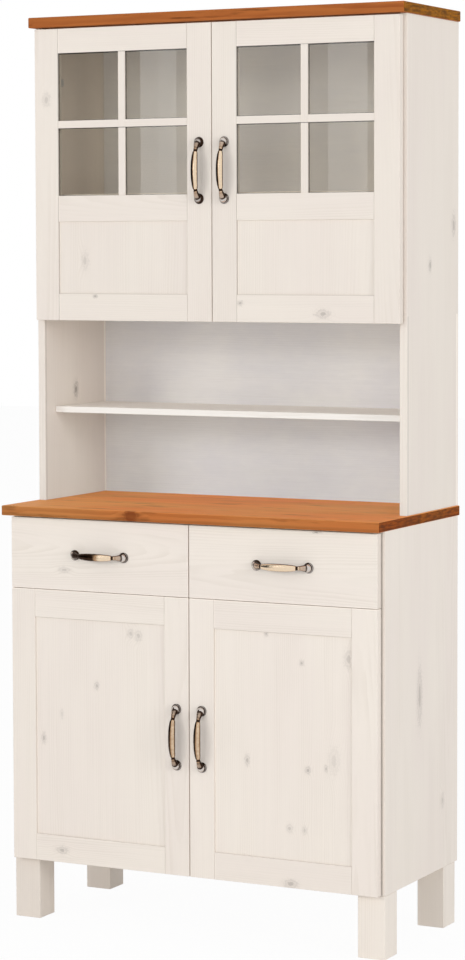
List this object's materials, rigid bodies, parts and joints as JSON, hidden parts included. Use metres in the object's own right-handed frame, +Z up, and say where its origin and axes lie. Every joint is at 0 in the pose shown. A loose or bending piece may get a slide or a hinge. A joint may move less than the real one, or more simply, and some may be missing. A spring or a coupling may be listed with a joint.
{
  "type": "kitchen buffet",
  "caption": "Tall white-glazed pine kitchen buffet: base cabinet with doors and drawers, oiled worktop, open niche with a shelf, and glazed hutch doors with bow pulls.",
  "frame": {"origin": "on the floor, in the middle of the whole box, pulls included", "axes": "+Z up, +X to the buffet's right as it is faced, -Y out of the doors' fronts towards the user"},
  "size_m": [0.8, 0.386, 1.756],
  "materials": {
    "white_pine": "thin white glaze, satin",
    "oiled_pine": "honey-brown oil, satin",
    "thin_board": "thin board, matt",
    "beech": "raw",
    "glass": "clear, polished",
    "antique_brass": "antique, dark patina in the hollows",
    "zinc_steel": "zinc plated"
  },
  "bodies": {
    "carcass": {"assembly_dowels": "beech", "base_back_panel": "thin_board", "base_floor": "white_pine", "base_shelf": "white_pine", "base_side_left": "white_pine", "base_side_right": "white_pine", "base_top_rails": "white_pine", "drawer_deck": "white_pine", "drawer_partition": "white_pine", "drawer_tracks": "zinc_steel", "hinge_arms": "zinc_steel", "hutch_back_panel": "thin_board", "hutch_cabinet_floor": "white_pine", "hutch_cabinet_shelf": "white_pine", "hutch_cap": "oiled_pine", "hutch_side_left": "white_pine", "hutch_side_right": "white_pine", "leg_bolts": "zinc_steel", "leg_front_left": "white_pine", "leg_front_right": "white_pine", "leg_rear_left": "white_pine", "leg_rear_right": "white_pine", "niche_shelf": "white_pine", "shelf_pins": "zinc_steel", "worktop": "oiled_pine"},
    "upper_door_left": {"upper_door_left_glass": "glass", "upper_door_left_glazing_bars": "white_pine", "upper_door_left_handle": "antique_brass", "upper_door_left_hinge_cups": "zinc_steel", "upper_door_left_panel": "white_pine", "upper_door_left_rails": "white_pine", "upper_door_left_stiles": "white_pine"},
    "upper_door_right": {"upper_door_right_glass": "glass", "upper_door_right_glazing_bars": "white_pine", "upper_door_right_handle": "antique_brass", "upper_door_right_hinge_cups": "zinc_steel", "upper_door_right_panel": "white_pine", "upper_door_right_rails": "white_pine", "upper_door_right_stiles": "white_pine"},
    "base_door_left": {"base_door_left_handle": "antique_brass", "base_door_left_hinge_cups": "zinc_steel", "base_door_left_panel": "white_pine", "base_door_left_rails": "white_pine", "base_door_left_stiles": "white_pine"},
    "base_door_right": {"base_door_right_handle": "antique_brass", "base_door_right_hinge_cups": "zinc_steel", "base_door_right_panel": "white_pine", "base_door_right_rails": "white_pine", "base_door_right_stiles": "white_pine"},
    "drawer_left": {"drawer_left_bottom": "thin_board", "drawer_left_box": "white_pine", "drawer_left_front": "white_pine", "drawer_left_handle": "antique_brass", "drawer_left_runners": "zinc_steel"},
    "drawer_right": {"drawer_right_bottom": "thin_board", "drawer_right_box": "white_pine", "drawer_right_front": "white_pine", "drawer_right_handle": "antique_brass", "drawer_right_runners": "zinc_steel"}
  },
  "joints": [
    {"name": "upper_door_left_hinge", "type": "hinge", "parent": "carcass", "child": "upper_door_left", "pos_m": [-0.383, -0.0625, 1.45], "axis": [0, 0, 1], "range_deg": [-105, 0]},
    {"name": "upper_door_right_hinge", "type": "hinge", "parent": "carcass", "child": "upper_door_right", "pos_m": [0.383, -0.0625, 1.45], "axis": [0, 0, 1], "range_deg": [0, 105]},
    {"name": "base_door_left_hinge", "type": "hinge", "parent": "carcass", "child": "base_door_left", "pos_m": [-0.383, -0.1615, 0.3845], "axis": [0, 0, 1], "range_deg": [-105, 0]},
    {"name": "base_door_right_hinge", "type": "hinge", "parent": "carcass", "child": "base_door_right", "pos_m": [0.383, -0.1615, 0.3845], "axis": [0, 0, 1], "range_deg": [0, 105]},
    {"name": "drawer_left_slide", "type": "slide", "parent": "carcass", "child": "drawer_left", "axis": [0, -1, 0], "range_m": [0, 0.25]},
    {"name": "drawer_right_slide", "type": "slide", "parent": "carcass", "child": "drawer_right", "axis": [0, -1, 0], "range_m": [0, 0.25]}
  ]
}
